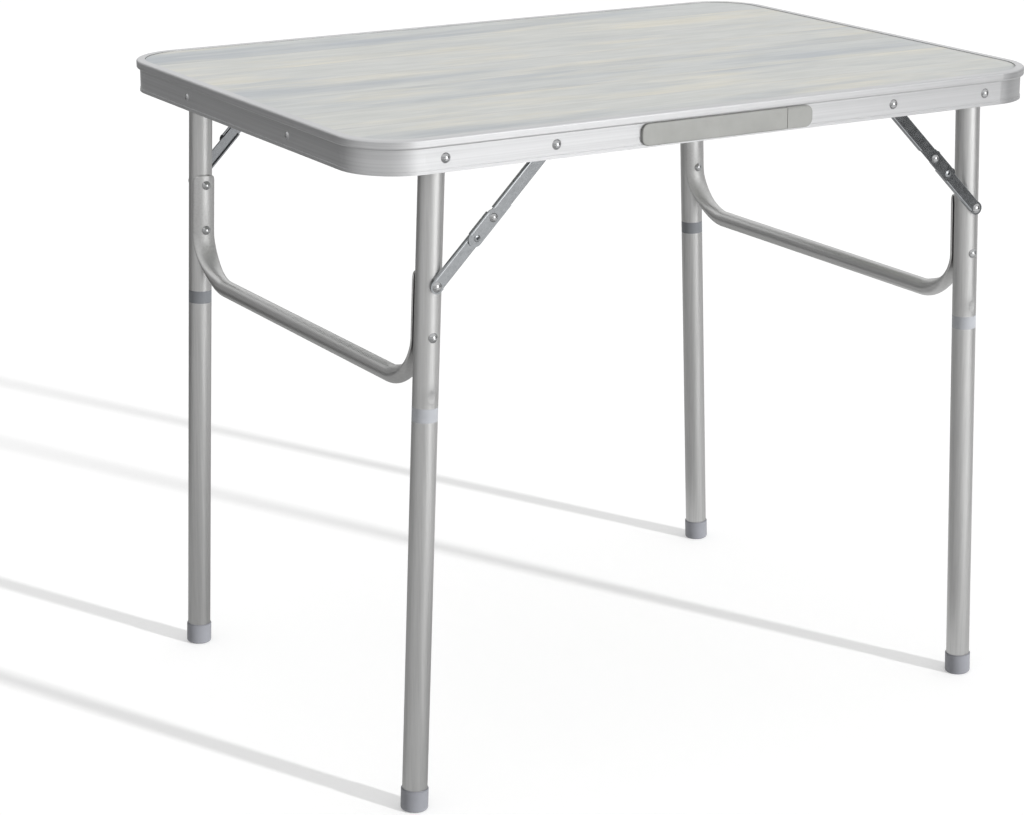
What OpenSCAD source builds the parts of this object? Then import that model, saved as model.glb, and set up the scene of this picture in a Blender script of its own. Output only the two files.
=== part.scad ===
// Folding camping table: a framed board on two folding leg frames, each stayed by two
// jointed braces and lengthened by four plug-in lower legs.
// Millimetres. The origin is on the floor under the middle of the top, X runs along the
// long side, and the carrying handle is on the -Y side.

/* [Table] */
// Length of the top over the rail bead
top_l = 700; // [600:5:900]
// Width of the top over the rail bead
top_w = 500; // [440:5:600]
// Height of the rail's top edge above the floor
table_h = 590; // [540:5:700]
// Outer radius of the top's corners
corner_r = 54; // [40:1:70]

/* [Edge rail] */
// Height of the rail from its top edge to its bottom edge
rail_h = 29; // [28:1:40]
// Sheet thickness of the extruded rail
rail_wall = 1.4; // [1.2:0.1:1.6]
// Height of the bead that wraps the board's edge
bead_h = 8; // [8:0.5:10]
// How far the bead stands out from the fascia under it
bead_out = 3; // [2.4:0.2:3.4]
// Rounding of the bead's outer edges
bead_round = 2; // [1:0.25:2.5]
// Thickness of the lip over the board
lip_t = 1.2; // [0.8:0.1:1.4]
// Width of the lip, from the bead's outer face to its inner edge
lip_w = 8; // [6.5:0.5:9]
// Reach of the shelf that the board rests on, from the bead's outer face
shelf_reach = 11.5; // [10:0.5:12.5]
// Height of the ridge along the fascia's bottom edge
ridge_h = 2.8; // [2:0.2:4]
// How far that ridge stands out
ridge_out = 0.6; // [0.2:0.1:0.9]
// Width of the return lip inside the fascia's bottom edge
return_w = 1.2; // [0.6:0.2:1.4]
// Gap of the butt seam where the bent rail's two ends meet
seam_gap = 0.4; // [0.2:0.1:1]

/* [Board] */
// Thickness of the board where it fills the rail's channel
board_t = 4.8; // [4.6:0.1:5]
// How far the board's field stands up inside the rail's lip
field_rise = 0.6; // [0.2:0.1:1]
// Clearance between the board's edge and the rail
board_gap = 0.5; // [0.2:0.1:0.8]

/* [Leg frames] */
// Distance of each leg pivot from the table's end, along X
pivot_inset = 72; // [70:1:110]
// Play between the legs' rounded tops and the board
top_gap = 0.4; // [0.3:0.1:0.8]
// Distance of the leg axes from the middle of the table, along Y
leg_inset = 26; // [25:0.5:30]
// Outward lean of the leg frames
lean = 2.3; // [0:0.1:4]
// Outer diameter of the leg tubes
leg_d = 22; // [20:0.5:22]
// Wall of the leg tubes
leg_wall = 1.2; // [1:0.1:1.6]
// Distance from the pivot to the bottom edge of the upper tube, along the leg
upper_leg_l = 212; // [206:1:260]
// Thickness of the plastic plug in the tube's top
plug_t = 7; // [4:0.5:7]

/* [Crossbars] */
// Outer diameter of the crossbar tube
bar_d = 16; // [14:0.5:18]
// Wall of the crossbar tube
bar_wall = 1.2; // [1:0.1:1.6]
// Distance from the pivot to the crossbar's axis, along the leg
bar_depth = 198.5; // [196:0.5:204]
// Bend radius of the crossbar's axis
bend_r = 42; // [38:1:44]
// Thickness of the bar's pressed ends
press_t = 2.8; // [2.4:0.1:3.4]
// Width of the bar's pressed ends, measured round the saddle
press_w = 26; // [22:0.5:27]
// Angle of the bend over which the pressed end opens into the round tube
press_turn = 46; // [30:2:70]
// Length of the saddle above its upper rivet
press_over = 9; // [8:0.5:14]
// Play between the saddle and the leg that it hugs
saddle_gap = 0.15; // [0.15:0.05:0.3]
// How far the pressed part stands over the round tube where it passes into it
join_over = 0.08; // [0.06:0.02:0.12]

/* [Braces] */
// Distance of each brace pivot from its leg pivot, along X
brace_reach = 104; // [96:1:112]
// Distance from the leg pivot to the brace's rivet on the leg
brace_drop = 108; // [102:1:112]
// Distance from the leg pivot to the lower rivet of the crossbar
bar_rivet_drop = 151.5; // [146:0.5:153]
// Length of the upper link between its two pivots
upper_link_l = 79; // [74:1:84]
// How far the upper link reaches past the middle pivot
overlap_l = 30; // [26:1:32]
// Distance of the detent from the middle pivot
detent_l = 22; // [18:1:24]
// Width of the upper link
upper_link_w = 12; // [11.4:0.2:13]
// How far the upper link's stop tab stands out past its side
tab_out = 1.3; // [1:0.1:1.8]
// Sheet thickness of the links
link_t = 1.2; // [1:0.1:1.3]
// Depth of the upper link's flanges, with the web
upper_flange = 3.4; // [2.6:0.1:3.4]
// Depth of the lower link's lips, with the web
lower_flange = 3.4; // [2.6:0.1:3.4]
// Play between the two links where one lies on the other
link_gap = 0.2; // [0.1:0.05:0.3]
// Outer radius of the folds between the links' webs and flanges
fold_r = 1.5; // [0.8:0.1:1.8]
// Play between the lower link and the upper link's flanges
flange_gap = 0.3; // [0.2:0.1:0.6]
// Play between the lower link and the leg's side
brace_leg_gap = 0.6; // [0.5:0.05:0.8]

/* [Rivets] */
// Shank diameter of the pivot rivets
pivot_rivet_d = 5; // [4:0.25:5]
// Head diameter of the pivot rivets
pivot_head_d = 8.8; // [8:0.2:9.4]
// Height of the pivot rivets' domed heads
pivot_head_h = 2.5; // [1.6:0.1:2.6]
// Shank diameter of the small rivets
small_rivet_d = 4; // [3:0.25:4]
// Head diameter of the small rivets
small_head_d = 7; // [6:0.2:7.4]
// Height of the small rivets' domed heads
small_head_h = 1.8; // [1.2:0.1:2]
// Head diameter of the rivets through the legs and the crossbars
frame_head_d = 8.6; // [7.6:0.2:9]
// Height of those rivets' domed heads
frame_head_h = 2.3; // [1.6:0.1:2.6]
// Head diameter of the rivets in the braces' middle pivots
middle_head_d = 7.8; // [7:0.2:8.4]
// Head height of the flat rivets between the braces and the legs
flat_head_h = 1.2; // [0.8:0.1:1.2]
// Radial play of a turning rivet in its hole
run_gap = 0.05; // [0.03:0.01:0.09]

/* [Lower legs] */
// Height of the coupler's visible collar
collar_h = 12; // [9:0.5:16]
// Length of the coupler's spigot inside the lower leg
spigot_l = 45; // [35:1:55]
// Radial play of the spigot in the lower leg
spigot_gap = 0.15; // [0.1:0.05:0.3]
// Wall of the coupler's spigot
spigot_wall = 2; // [1.6:0.1:3]
// Length of the coupler's grip inside the upper tube
grip_l = 22; // [18:1:30]
// Height of the crimp over the upper tube's bottom edge
crimp_up = 10; // [10:0.5:14]
// Radius of the ball that presses the crimp
crimp_r = 18; // [8:1:19]
// Depth of the crimp
crimp_deep = 0.9; // [0.4:0.1:1]
// Outer diameter of the foot cap
foot_d = 24; // [23.4:0.2:26]
// Height of the foot cap
foot_h = 20; // [16:1:30]
// Thickness of the foot's sole
sole_t = 4; // [3:0.5:6]
// Edge rounding of the foot
foot_round = 2.5; // [1:0.25:3]

/* [Handle] */
// Distance of the handle's middle from the table's middle, towards -X
handle_shift = 4; // [0:1:20]
// Length of the handle
handle_l = 176; // [150:1:200]
// Height of the handle
handle_h = 19; // [16:0.5:19]
// Corner radius of the handle's ends
handle_r = 7; // [4:0.5:7.5]
// Thickness of the handle
handle_t = 3; // [2.6:0.1:3]
// Gap between the handle's top edge and the bead above it
handle_drop = 0.5; // [0.3:0.1:1.5]
// Length of the fixed cap at the handle's right end
cap_l = 27; // [20:1:32]
// Length of the fixed anchor behind the strap's left end
anchor_l = 14; // [12:0.5:16]
// Height of that anchor
anchor_h = 10; // [8:0.5:11]
// Thickness of that anchor
anchor_t = 1.3; // [1:0.1:1.4]
// Width of the seams between the strap and its ends
handle_seam = 0.5; // [0.3:0.1:0.9]

/* [Small parts] */
// Distance of the board's clips from the middle of the short rails
clip_y = 101; // [60:1:140]
// Width of the clips
clip_w = 16; // [12:1:20]
// Reach of the clips under the board
clip_reach = 20; // [16:1:26]
// Sheet thickness of the clips
clip_t = 1.2; // [1:0.1:1.5]
// Thread diameter of the clips' screws
screw_d = 3; // [2.5:0.1:3.5]
// How far the screws go into the board
screw_grip = 3.2; // [2:0.1:4]
// Length of the plate behind the rail's seam
splice_l = 50; // [40:1:70]

/* [Hidden] */
$fn = 64;

board_colour = "gainsboro";
rail_colour = "silver";
tube_colour = "darkgray";
zinc_colour = "lightslategray";
rivet_colour = "whitesmoke";
plastic_colour = "slategray";
handle_colour = "darkseagreen";

// How far a cutting shape runs past the faces that it cuts
past = 1;

// Heights of the rail's parts
rail_bottom = table_h - rail_h;
bead_bottom = table_h - bead_h;
lip_under = table_h - lip_t;
board_bottom = lip_under - board_t;
shelf_under = board_bottom - lip_t;

// Depths in from the bead's outer face
fascia_in = bead_out;
wall_in = bead_out + rail_wall;
return_in = wall_in + return_w;
fascia_y = top_w / 2 - fascia_in;
wall_y = top_w / 2 - wall_in;
wall_x = top_l / 2 - wall_in;

// Leg frames, in the left front quarter
pivot_x = top_l / 2 - pivot_inset;
brace_x = pivot_x - brace_reach;
leg_r = leg_d / 2;
pivot_z = board_bottom - top_gap - leg_r;
leg_y = top_w / 2 - leg_inset;
leg_outer_y = leg_y + leg_r;
leg_inner_y = leg_y - leg_r;
leg_l = pivot_z / cos(lean);
bore_r = leg_r - leg_wall;
lower_top = upper_leg_l + collar_h;

// Crossbar: distance of its leg side and of the bend's centre from the middle
saddle_y = leg_inner_y - saddle_gap;
bend_outer = bend_r + bar_d / 2;
bend_y = saddle_y - bend_outer;
bend_depth = bar_depth - bend_r;
ring_points = 44;
press_steps = 14;
opening_power = 1.6;
join_turn = 2;

// Braces: layers of sheet from the leg outwards, and the pivots in the XZ plane
lower_web_in = leg_outer_y + brace_leg_gap + lower_flange - link_t;
lower_web_out = lower_web_in + link_t;
upper_web_in = lower_web_out + link_gap;
upper_web_out = upper_web_in + link_t;
leg_rivet_x = -pivot_x - brace_drop * sin(lean);
leg_rivet_z = pivot_z - brace_drop * cos(lean);
brace_span = norm([-brace_x - leg_rivet_x, pivot_z - leg_rivet_z]);
brace_slope = atan2(pivot_z - leg_rivet_z, -brace_x - leg_rivet_x);
lower_link_l = brace_span - upper_link_l;
tab_half = upper_link_w / 2 + tab_out;
lower_link_w = 2 * (tab_half - link_t - flange_gap);

// Handle, between its left and right ends
handle_x0 = -handle_shift - handle_l / 2;
handle_x1 = handle_x0 + handle_l;
handle_z = bead_bottom - handle_drop - handle_h / 2;
handle_fit = 0.05;
anchor_x = handle_x0 + handle_r / 2 + anchor_l / 2;

// Places a left front piece in one of the four quarters
module quarter(right, back) {
  if (right && back) rotate([0, 0, 180]) children();
  else if (right) mirror([1, 0, 0]) children();
  else if (back) mirror([0, 1, 0]) children();
  else children();
}

// The frame of a left leg: the pivot is the origin and the leg runs down -Z
module leg_frame() {
  translate([-pivot_x, 0, pivot_z]) rotate([0, lean, 0]) children();
}

// The frame of a left brace: the upper pivot is the origin and the links run along +X
module brace_frame() {
  translate([-brace_x, 0, pivot_z]) rotate([0, 180 - brace_slope, 0]) children();
}

// A bar along Y between two distances from the middle, in front
module pin(d, y_in, y_out) {
  translate([0, -y_in, 0]) rotate([90, 0, 0]) cylinder(d = d, h = y_out - y_in);
}

// A domed rivet head that stands outwards in -Y from a face at the distance y_face
module dome_head(d, h, y_face) {
  dome_r = (d * d / 4 + h * h) / (2 * h);
  translate([0, -y_face, 0]) rotate([90, 0, 0])
    rotate_extrude() intersection() {
      translate([0, h - dome_r]) circle(r = dome_r);
      square([d / 2, h]);
    }
}

// The same head turned round, on the inner end of a rivet
module inner_head(d, h, y_face) {
  translate([0, -2 * y_face, 0]) mirror([0, 1, 0]) dome_head(d, h, y_face);
}

// The rail's section: x is the distance in from the bead's outer face
module rail_section() {
  difference() {
    union() {
      // Bead with rounded outer edges
      translate([bead_round, bead_bottom]) square([shelf_reach - bead_round, bead_h]);
      translate([0, bead_bottom + bead_round]) square([shelf_reach, bead_h - 2 * bead_round]);
      for (z = [bead_bottom + bead_round, table_h - bead_round])
        translate([bead_round, z]) circle(r = bead_round, $fn = 32);
      // Fascia, ridge and return lip
      translate([fascia_in, rail_bottom]) square([rail_wall, rail_h - bead_h + past]);
      translate([fascia_in - ridge_out, rail_bottom]) square([ridge_out + past, ridge_h]);
      translate([fascia_in, rail_bottom]) square([return_in - fascia_in, lip_t]);
    }
    // Channel for the board, open to the inside
    translate([rail_wall, board_bottom]) square([shelf_reach, board_t]);
    // The lip stops short of the shelf
    translate([lip_w, board_bottom]) square([shelf_reach, table_h]);
    // Nothing under the shelf
    translate([wall_in, bead_bottom - past])
      square([shelf_reach, shelf_under - bead_bottom + past]);
  }
}

// One straight run of the rail along +X, with its outer face towards -Y
module rail_run(length) {
  rotate([90, 0, 90]) linear_extrude(height = length) rail_section();
}

// One bent corner of the rail, a quarter turn about the origin
module rail_corner() {
  rotate_extrude(angle = 90) translate([corner_r, 0]) mirror([1, 0]) rail_section();
}

module edge_rail() {
  run_x = top_l - 2 * corner_r;
  run_y = top_w - 2 * corner_r;
  color(rail_colour) difference() {
    union() {
      for (turn = [0, 180]) rotate([0, 0, turn]) {
        translate([-run_x / 2, -top_w / 2, 0]) rail_run(run_x);
        translate([top_l / 2, -run_y / 2, 0]) rotate([0, 0, 90]) rail_run(run_y);
        translate([run_x / 2, run_y / 2, 0]) rail_corner();
        translate([run_x / 2, -run_y / 2, 0]) rotate([0, 0, -90]) rail_corner();
      }
    }
    // Butt seam in the middle of the back
    translate([-seam_gap / 2, top_w / 2 - shelf_reach - past, rail_bottom - past])
      cube([seam_gap, shelf_reach + 2 * past, rail_h + 2 * past]);
    // Holes for the leg and brace pivots
    for (x = [-pivot_x, -brace_x, brace_x, pivot_x], back = [false, true])
      quarter(false, back) translate([x, 0, pivot_z])
        pin(pivot_rivet_d, wall_y - past, fascia_y + past);
    // Holes for the clips, the splice and the handle
    for (turn = [0, 180], y = [-clip_y, clip_y])
      rotate([0, 0, turn]) translate([-wall_x + past, y, pivot_z]) rotate([0, -90, 0])
        cylinder(d = small_rivet_d, h = rail_wall + 2 * past);
    for (x = [-splice_l / 4, splice_l / 4])
      quarter(false, true) translate([x, 0, pivot_z])
        pin(small_rivet_d, wall_y - past, fascia_y + past);
    for (x = [anchor_x, handle_x1 - cap_l / 2])
      translate([x, 0, handle_z]) pin(small_rivet_d, wall_y - past, fascia_y + past);
  }
}

// A plate with round corners, centred, resting on z = 0
module round_plate(l, w, r, t) {
  linear_extrude(height = t) {
    square([l - 2 * r, w], center = true);
    square([l, w - 2 * r], center = true);
    for (sx = [-1, 1], sy = [-1, 1])
      translate([sx * (l / 2 - r), sy * (w / 2 - r)]) circle(r = r);
  }
}

module tabletop_panel() {
  edge_in = rail_wall + board_gap;
  field_in = lip_w + board_gap;
  color(board_colour) difference() {
    union() {
      translate([0, 0, board_bottom])
        round_plate(top_l - 2 * edge_in, top_w - 2 * edge_in, corner_r - edge_in, board_t);
      translate([0, 0, board_bottom])
        round_plate(top_l - 2 * field_in, top_w - 2 * field_in, corner_r - field_in,
                    board_t + field_rise);
    }
    clip_screw_places() cylinder(d = screw_d, h = past + screw_grip);
  }
}

// Plate behind the rail's seam, with its two rivets
module rail_splice_plate() {
  plate_h = 14;
  color(zinc_colour) quarter(false, true) difference() {
    translate([-splice_l / 2, -wall_y + run_gap, pivot_z - plate_h / 2])
      cube([splice_l, rail_wall, plate_h]);
    for (x = [-splice_l / 4, splice_l / 4])
      translate([x, 0, pivot_z]) pin(small_rivet_d, wall_y - rail_wall - past, wall_y + past);
  }
}

module splice_rivets() {
  inner_face = wall_y - run_gap - rail_wall;
  color(rivet_colour) quarter(false, true)
    for (x = [-splice_l / 4, splice_l / 4]) translate([x, 0, pivot_z]) {
      pin(small_rivet_d, inner_face, fascia_y);
      dome_head(small_head_d, small_head_h, fascia_y);
      inner_head(small_head_d, small_head_h, inner_face);
    }
}

// The handle's outline along X and Z, from its left end x0 to its right end x1
module handle_blank(x0, x1) {
  edge = 1.2;
  thick = handle_t - handle_fit;
  difference() {
    translate([0, -fascia_y - handle_fit, handle_z]) rotate([90, 0, 0]) {
      intersection() {
        union() {
          handle_slab(0, thick - edge);
          handle_slab(edge / 2, thick - edge / 3);
          handle_slab(edge, thick);
        }
        translate([x0, -handle_h, 0]) cube([x1 - x0, 2 * handle_h, handle_t]);
      }
    }
    // Rebate over the ridge along the fascia's bottom edge
    translate([handle_x0 - past, -fascia_y - ridge_out - handle_fit, rail_bottom - past])
      cube([handle_l + 2 * past, ridge_out + past, ridge_h + past + handle_fit]);
  }
}

// The whole handle's outline, smaller by inset all round
module handle_slab(inset, t) {
  translate([(handle_x0 + handle_x1) / 2, 0])
    round_plate(handle_l - 2 * inset, handle_h - 2 * inset, handle_r - inset, t);
}

// The flat anchor behind the strap's left end, grown by some play and lengthened backwards
module anchor_block(play, behind) {
  anchor_r = 2;
  translate([anchor_x, behind - fascia_y - handle_fit, handle_z]) rotate([90, 0, 0])
    round_plate(anchor_l + 2 * play, anchor_h + 2 * play, anchor_r, anchor_t + play + behind);
}

module handle_left_anchor() {
  color(handle_colour) difference() {
    anchor_block(0, 0);
    translate([anchor_x, 0, handle_z]) handle_rivet(0);
  }
}

module handle_strap() {
  color(handle_colour) difference() {
    handle_blank(handle_x0 - past, handle_x1 - cap_l - handle_seam);
    anchor_block(handle_seam, past);
  }
}

module handle_end_cap() {
  color(handle_colour) difference() {
    handle_blank(handle_x1 - cap_l, handle_x1 + past);
    translate([handle_x1 - cap_l / 2, 0, handle_z]) handle_rivet(0);
  }
}

// A blind rivet from inside the rail into the handle's anchor and cap
module handle_rivet(head) {
  pin(small_rivet_d, wall_y, fascia_y + handle_fit + anchor_t);
  if (head > 0) inner_head(small_head_d, head, wall_y);
}

module handle_rivets() {
  color(rivet_colour)
    for (x = [anchor_x, handle_x1 - cap_l / 2])
      translate([x, 0, handle_z]) handle_rivet(small_head_h);
}

// The rivets on which the leg frames turn, through rail, spacer and leg
module leg_pivot_rivets() {
  color(rivet_colour)
    for (right = [false, true], back = [false, true])
      quarter(right, back) translate([-pivot_x, 0, pivot_z]) {
        pin(pivot_rivet_d, leg_inner_y - run_gap, fascia_y);
        dome_head(pivot_head_d, pivot_head_h, fascia_y);
        inner_head(pivot_head_d, pivot_head_h, leg_inner_y - run_gap);
      }
}

// Sleeves that hold the legs clear of the rail
module leg_spacers() {
  spacer_wall = 1.5;
  color(zinc_colour)
    for (right = [false, true], back = [false, true])
      quarter(right, back) translate([-pivot_x, 0, pivot_z]) difference() {
        pin(pivot_rivet_d + 2 * (run_gap + spacer_wall), leg_outer_y + run_gap,
            wall_y - run_gap);
        pin(pivot_rivet_d + 2 * run_gap, leg_outer_y - past, wall_y + past);
      }
}

// Shouldered rivets that the braces hang on
module brace_pivot_rivets() {
  shoulder_d = 8;
  color(rivet_colour)
    for (right = [false, true], back = [false, true])
      quarter(right, back) translate([-brace_x, 0, pivot_z]) {
        pin(pivot_rivet_d, upper_web_in - run_gap, fascia_y);
        pin(shoulder_d, upper_web_out + run_gap, wall_y);
        dome_head(pivot_head_d, pivot_head_h, fascia_y);
        inner_head(pivot_head_d - 1, flat_head_h, upper_web_in - run_gap);
      }
}

// Places its children at each clip screw, pointing up from under the board
module clip_screw_places() {
  for (turn = [0, 180], y = [-clip_y, clip_y])
    rotate([0, 0, turn])
      translate([-wall_x + clip_reach * 2 / 3, y, board_bottom - past]) children();
}

// Angle clips between the short rails and the board, joggled round the rail's shelf
module panel_clips() {
  shelf_x = shelf_reach - wall_in + clip_t;
  foot_z = pivot_z - small_head_d / 2 - clip_t;
  color(zinc_colour) difference() {
    for (turn = [0, 180], y = [-clip_y, clip_y])
      rotate([0, 0, turn]) translate([-wall_x, y - clip_w / 2, 0]) {
        translate([run_gap, 0, foot_z]) cube([clip_t, clip_w, shelf_under - clip_t - foot_z]);
        translate([run_gap, 0, shelf_under - clip_t - run_gap]) cube([shelf_x, clip_w, clip_t]);
        translate([shelf_x + run_gap - clip_t, 0, shelf_under - clip_t - run_gap])
          cube([clip_t, clip_w, board_bottom - shelf_under + clip_t]);
        translate([shelf_x + run_gap - clip_t, 0, board_bottom - clip_t - run_gap])
          cube([clip_reach - shelf_x + clip_t, clip_w, clip_t]);
      }
    for (turn = [0, 180], y = [-clip_y, clip_y])
      rotate([0, 0, turn]) translate([-wall_x - past, y, pivot_z]) rotate([0, 90, 0])
        cylinder(d = small_rivet_d, h = clip_t + 2 * past);
    clip_screw_places() translate([0, 0, -clip_t]) cylinder(d = screw_d, h = clip_t + 2 * past);
  }
}

module clip_rivets() {
  color(rivet_colour)
    for (turn = [0, 180], y = [-clip_y, clip_y])
      rotate([0, 0, turn]) translate([0, y, pivot_z]) rotate([0, 0, -90]) {
        pin(small_rivet_d, wall_x - run_gap - clip_t, wall_x + rail_wall);
        dome_head(small_head_d, small_head_h, wall_x + rail_wall);
        inner_head(small_head_d, small_head_h, wall_x - run_gap - clip_t);
      }
}

module clip_screws() {
  head_d = 6;
  head_h = 1.6;
  under = past - clip_t - run_gap;
  color(zinc_colour) clip_screw_places() {
    translate([0, 0, under]) cylinder(d = screw_d, h = past + screw_grip - under);
    translate([0, 0, under - head_h]) difference() {
      cylinder(d1 = head_d - 1, d2 = head_d, h = head_h);
      for (turn = [0, 90]) rotate([0, 0, turn])
        cube([head_d / 2, 0.8, head_h], center = true);
    }
  }
}

// Upper tube of a leg, rounded about its pivot so that it clears the board
module upper_leg(right, back) {
  color(tube_colour) quarter(right, back) leg_frame() difference() {
    union() {
      difference() {
        union() {
          translate([0, -leg_y, -upper_leg_l]) cylinder(d = leg_d, h = upper_leg_l);
          intersection() {
            translate([0, -leg_y, 0]) cylinder(d = leg_d, h = leg_r);
            pin(leg_d, leg_inner_y, leg_outer_y);
          }
        }
        translate([0, -leg_y, -upper_leg_l - past])
          cylinder(r = bore_r, h = upper_leg_l + leg_r + 2 * past);
      }
      // The wall that the crimp pushes in
      intersection() {
        translate([0, -leg_y, -upper_leg_l]) cylinder(d = leg_d, h = 2 * crimp_up);
        crimp_ball(leg_wall);
      }
    }
    crimp_ball(0);
    pin(pivot_rivet_d + 2 * run_gap, leg_inner_y - past, leg_outer_y + past);
    for (drop = [brace_drop, bar_rivet_drop])
      translate([0, 0, -drop]) pin(small_rivet_d, leg_inner_y - past, leg_outer_y + past);
  }
}

// The ball that presses a leg's crimp, grown by some thickness
module crimp_ball(grow) {
  translate([0, -leg_outer_y + crimp_deep - crimp_r, crimp_up - upper_leg_l])
    sphere(r = crimp_r + grow);
}

// Plastic plugs in the tops of a frame's two tubes
module top_plugs(right) {
  color(plastic_colour)
    for (back = [false, true]) quarter(right, back) leg_frame() intersection() {
      translate([0, -leg_y, leg_r - plug_t]) cylinder(r = bore_r, h = plug_t);
      pin(leg_d - 0.4, leg_inner_y, leg_outer_y);
    }
}

// Superellipse power of the tube's section: two when round, three when pressed
function section_power(u) = 3 - u;
function signed_power(v, n) = sign(v) * pow(abs(v), n);

// One point of the bar's section when it is opened by u, from pressed (0) to round (1).
// The pressed section is curled round the leg: x is across it, y is towards the leg.
function section_point(i, u, narrow) =
  let (
    a = 360 * i / ring_points,
    depth = press_t + (bar_d - press_t) * u,
    thick = depth + 2 * join_over * u,
    wide = (press_w + (bar_d + 2 * join_over - press_w) * u) * narrow,
    across = wide / 2 * signed_power(cos(a), 2 / section_power(u)),
    through = thick / 2 * signed_power(sin(a), 2 / section_power(u)),
    hug_r = leg_r + saddle_gap + depth / 2,
    curl = (1 - u) / hug_r,
    turn = across * curl * 180 / PI
  )
  u == 1 ? [across, through - depth / 2]
         : [(1 / curl - through) * sin(turn),
            1 / curl - (1 / curl - through) * cos(turn) - depth / 2];

// A ring of the pressed end: turn is the angle round the bend, up the height above it
function section_ring(turn, up, u, narrow) = [
  for (i = [0 : ring_points - 1])
    let (p = section_point(i, u, narrow), reach = bend_outer + p[1])
      [p[0], -bend_y - reach * cos(turn), -bend_depth + up - reach * sin(turn)]
];

// The rings from the saddle's rounded top down to where the tube is round
function opening(t) = 1 - pow(1 - t, opening_power);
saddle_top = bend_depth - brace_drop + press_over;
end_steps = [[0, 0.55], [1.2, 0.8], [3.5, 0.95], [7, 1]];
press_rings = concat(
  [for (e = end_steps) section_ring(0, saddle_top - e[0], 0, e[1])],
  [for (i = [0 : press_steps])
    section_ring(press_turn * i / press_steps, 0, opening(i / press_steps), 1)],
  [section_ring(press_turn + join_turn, 0, 1, 1)]
);

// A solid skinned over a list of rings that all have the same number of points
module skin(rings) {
  count = len(rings[0]);
  last = len(rings) - 1;
  points = [for (ring = rings) for (p = ring) p];
  sides = [
    for (j = [0 : last - 1]) for (i = [0 : count - 1])
      let (k = (i + 1) % count)
        each [[j * count + i, (j + 1) * count + k, j * count + k],
              [j * count + i, (j + 1) * count + i, (j + 1) * count + k]]
  ];
  first_cap = [for (i = [0 : count - 1]) i];
  last_cap = [for (i = [count - 1 : -1 : 0]) last * count + i];
  polyhedron(points = points, faces = concat([first_cap], sides, [last_cap]));
}

// One U-shaped tube between two legs. Its ends are pressed into saddles that hug the
// legs, and open into the round tube along the bend.
module crossbar(right) {
  color(tube_colour) quarter(right, false) leg_frame() difference() {
    union() {
      for (back = [false, true]) quarter(false, back) {
        skin(press_rings);
        translate([0, -bend_y, -bend_depth]) rotate([0, 0, -90]) rotate([90, 0, 0])
          rotate([0, 0, -90]) rotate_extrude(angle = 90 - press_turn)
            translate([bend_r, 0]) bar_section();
      }
      translate([0, bend_y, -bar_depth]) rotate([90, 0, 0])
        linear_extrude(height = 2 * bend_y) bar_section();
    }
    for (drop = [brace_drop, bar_rivet_drop])
      translate([0, -leg_y, -drop]) rotate([-90, 0, 0])
        cylinder(d = small_rivet_d, h = 2 * leg_y);
  }
}

// Section of the crossbar's tube
module bar_section() {
  difference() {
    circle(d = bar_d);
    circle(d = bar_d - 2 * bar_wall);
  }
}

// A rivet head trimmed to seat on a tube of radius r about the leg's axis
module seated_head(r, drop, outer) {
  head_back = 1.4;
  difference() {
    translate([0, 0, -drop]) {
      if (outer) {
        pin(frame_head_d, leg_y + r - head_back, leg_y + r);
        dome_head(frame_head_d, frame_head_h, leg_y + r);
      } else {
        pin(frame_head_d, leg_y - r, leg_y - r + head_back);
        inner_head(frame_head_d, frame_head_h, leg_y - r);
      }
    }
    translate([0, -leg_y, -drop - frame_head_d]) cylinder(r = r, h = 2 * frame_head_d);
  }
}

// Rivets through the legs and the crossbar's saddles
module frame_rivets(right) {
  saddle_r = leg_r + 2 * saddle_gap + press_t;
  color(rivet_colour)
    for (back = [false, true]) quarter(right, back) leg_frame() {
      for (drop = [brace_drop, bar_rivet_drop]) {
        translate([0, 0, -drop]) pin(small_rivet_d, leg_y - saddle_r, leg_outer_y);
        seated_head(saddle_r, drop, false);
      }
      seated_head(leg_r, bar_rivet_drop, true);
    }
}

// Couplers crimped into a frame's two tubes, with the collar and the ribbed spigot
module couplers(right) {
  band_h = 2;
  band_out = 0.6;
  bands = 4;
  spigot_r = bore_r - spigot_gap;
  core_r = spigot_r - band_out;
  color(plastic_colour)
    for (back = [false, true]) quarter(right, back) leg_frame()
      translate([0, -leg_y, -upper_leg_l]) difference() {
        union() {
          cylinder(r = spigot_r, h = grip_l);
          translate([0, 0, -collar_h]) cylinder(d = leg_d, h = collar_h);
          translate([0, 0, -collar_h - spigot_l]) cylinder(r = core_r, h = spigot_l);
          for (i = [0 : bands - 1])
            translate([0, 0, -collar_h - spigot_l + i * (spigot_l - band_h) / (bands - 1)])
              cylinder(r = spigot_r, h = band_h);
        }
        translate([0, 0, -collar_h - spigot_l - past])
          cylinder(r = core_r - spigot_wall, h = collar_h + spigot_l + grip_l + 2 * past);
        translate([0, leg_y, upper_leg_l]) crimp_ball(leg_wall + spigot_gap);
      }
}

// Lower tube of a leg, from the collar down into its foot
module lower_leg(right, back) {
  color(tube_colour) quarter(right, back) leg_frame()
    translate([0, -leg_y, -leg_l + sole_t]) difference() {
      cylinder(d = leg_d, h = leg_l - sole_t - lower_top);
      translate([0, 0, -past]) cylinder(r = bore_r, h = leg_l);
    }
}

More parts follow.
